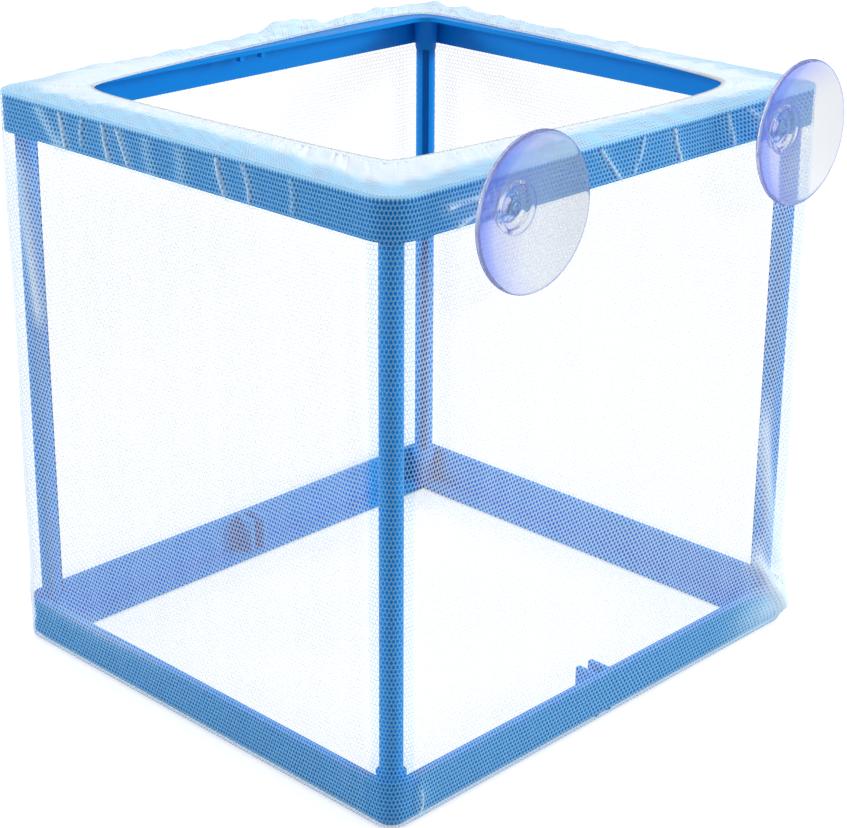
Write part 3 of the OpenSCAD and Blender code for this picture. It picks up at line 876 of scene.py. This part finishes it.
# Half section of a cup: distance from its axis, distance out from the skirt, in mm
def cupProfile(s):
    def sphere(r1, depth, low, a, b, count):
        ball = (r1 * r1 + depth * depth) / (2 * depth)
        return [(x, low + ball - math.sqrt(ball * ball - x * x)) for x in np.linspace(a, b, count)]
    e = 0.25  # corners are cut this far back before they are rounded
    rough = [(0, s["headIn"]), (s["headR"] * 0.45, s["headIn"]), (s["headR"], s["headIn"] + 1.3),
             (s["headR"], s["headOut"] - e), (s["headR"] - e, s["headOut"]),
             (s["neckR"] + e, s["headOut"]), (s["neckR"], s["headOut"] + e),
             (s["neckR"], s["hubS"] - e), (s["neckR"] + e, s["hubS"]), (s["hubR"] - 0.6, s["hubS"]),
             (s["hubR"], s["hubS"] + 0.6), (s["hubR"], s["stepS"] - e),
             (s["hubR"] + e, s["stepS"]), (s["stepR"] - e, s["stepS"]), (s["stepR"], s["stepS"] + e)]
    rough += sphere(s["rimR"], s["reach"] - s["rimT"] - s["backS"], s["backS"],
                    s["stepR"] + 0.15, s["rimR"] - 0.12, 22)
    rough += [(s["rimR"], s["reach"] - s["rimT"] + 0.1), (s["rimR"], s["reach"] - 0.15),
              (s["rimR"] - 0.15, s["reach"])]
    inner = s["reach"] - s["dish"]
    rough += sphere(s["rimR"] - s["lip"], s["dish"], inner, s["rimR"] - s["lip"], 6.4, 22)
    ledge = rough[-1][1]
    rough += [(6.0, ledge + 0.28), (5.4, ledge + 0.28), (5.0, ledge - 0.1), (s["pipR"] + 1.0, inner),
              (s["pipR"] + e, inner), (s["pipR"], inner + e), (s["pipR"] - 0.2, inner + s["pipH"]),
              (0, inner + s["pipH"] + 0.1)]
    line = np.array(rough)
    for _ in range(2):
        cut = np.stack((line[:-1] * 0.75 + line[1:] * 0.25, line[:-1] * 0.25 + line[1:] * 0.75), 1)
        line = np.vstack((line[:1], cut.reshape(-1, 2), line[-1:]))
    return line


def makeSuctionCup(name, s, x, z):
    line = cupProfile(s)
    turn = np.linspace(0, 2 * math.pi, s["sides"], endpoint=False)
    points = np.zeros((len(line), s["sides"], 3))
    points[:, :, 0] = x + line[:, :1] * np.cos(turn)
    points[:, :, 1] = s["faceY"] - line[:, 1:]
    points[:, :, 2] = z + line[:, :1] * np.sin(turn)
    uv = np.zeros((len(line), s["sides"] + 1, 2))
    uv[:, :, 0] = np.linspace(0, 1, s["sides"] + 1)
    uv[:, :, 1] = np.linspace(0, 1, len(line))[:, None]
    ob = gridPiece(name, points, uv, 1.0, 0.0)
    mergeSeam(ob)
    ob.data.materials[0] = cupMaterial
    return ob


walls = makeWalls(netBag, slackNet)
floorNet = makeFloor(netBag)
turnover = makeTurnover(hem, netBag)
hemCasing = makeHem(hem)
cord = makeCord(hem)
stitches = hemStitches(overlock, hem)
for piece in (walls, floorNet, turnover, hemCasing, cord, stitches):
    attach(piece, "box")
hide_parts("net_wall_front", "net_wall_back", "net_wall_left", "net_wall_right")
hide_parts("net_floor")
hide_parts("net_turnover_front", "net_turnover_back", "net_turnover_left",
            "net_turnover_right")
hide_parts("net_hem")
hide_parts("hem_elastic")
print("net bag made")

for side, x in zip(("left", "right"), netBag["neckX"]):
    cup = makeSuctionCup("suctionCup" + side.capitalize(), softCup, x, netBag["neckZ"])
    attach(cup, "cup_" + side)
    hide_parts("suction_cup_" + side)
print("suction cups made")


studio = {"floor": 0.6, "seen": 0.6, "grow": 0.13, "world": 0.25, "size": 6.0, "under": 0.0002}


# 1 for a ray from the camera, mirrored or gone through clear plastic, 0 for the rest
def seenDirectly(tree):
    path = setUp(tree, "ShaderNodeLightPath").outputs
    return maths(tree, "MAXIMUM", path["Is Camera Ray"],
                 maths(tree, "MAXIMUM", path["Is Glossy Ray"], path["Is Transmission Ray"]))


def addStage(s):
    me = bpy.data.meshes.new("floor")
    k = s["size"]
    me.from_pydata([(x * k, y * k, -s["under"]) for x, y in corners],
                   [], [(0, 1, 2, 3)])
    floor = bpy.data.objects.new("floor", me)
    bpy.context.scene.collection.objects.link(floor)
    m, t, b = newMaterial("paleFloor")
    b.inputs["Base Color"].default_value = (s["floor"],) * 3 + (1,)
    b.inputs["Roughness"].default_value = 0.9
    b.inputs["Specular IOR Level"].default_value = 0.0
    b.inputs["Emission Color"].default_value = (1, 1, 1, 1)
    seen = seenDirectly(t)
    away = setUp(t, "ShaderNodeVectorMath", operation="LENGTH")
    t.links.new(setUp(t, "ShaderNodeTexCoord").outputs["Object"], away.inputs[0])
    glow = maths(t, "MULTIPLY_ADD", away.outputs["Value"], s["grow"], s["seen"], clamp=True)
    t.links.new(maths(t, "MULTIPLY", seen, glow), b.inputs["Emission Strength"])
    me.materials.append(m)


def addWorld(s):
    w = bpy.data.worlds.new("studio")
    bpy.context.scene.world = w
    w.use_nodes = True
    t = w.node_tree
    back = t.nodes["Background"]
    back.inputs["Color"].default_value = (1, 1, 1, 1)
    seen = seenDirectly(t)
    t.links.new(maths(t, "MULTIPLY_ADD", seen, 1.0 - s["world"], s["world"], clamp=True),
                back.inputs["Strength"])


def addLamp(name, place, target, size, power, glossy=True):  # places in m, power in W
    data = bpy.data.lights.new(name, "AREA")
    data.shape, data.size, data.size_y = "RECTANGLE", size[0], size[1]
    data.energy = power
    lamp = bpy.data.objects.new(name, data)
    lamp.visible_transmission = False
    lamp.visible_glossy = glossy
    lamp.location = place
    lamp.rotation_euler = (Vector(target) - Vector(place)).to_track_quat("-Z", "Y").to_euler()
    bpy.context.scene.collection.objects.link(lamp)


addStage(studio)
addWorld(studio)
addLamp("topSoftbox", (0.0, -0.1, 1.3), (0, 0, 0.1), (1.2, 1.2), 8.2)
addLamp("rightSoftbox", (0.95, -1.2, 0.6), (0, 0, 0.08), (0.8, 0.4), 19.5, False)
addLamp("leftSoftbox", (-1.2, 1.0, 0.6), (0, 0, 0.08), (0.8, 0.4), 16)
print("stage and light set")
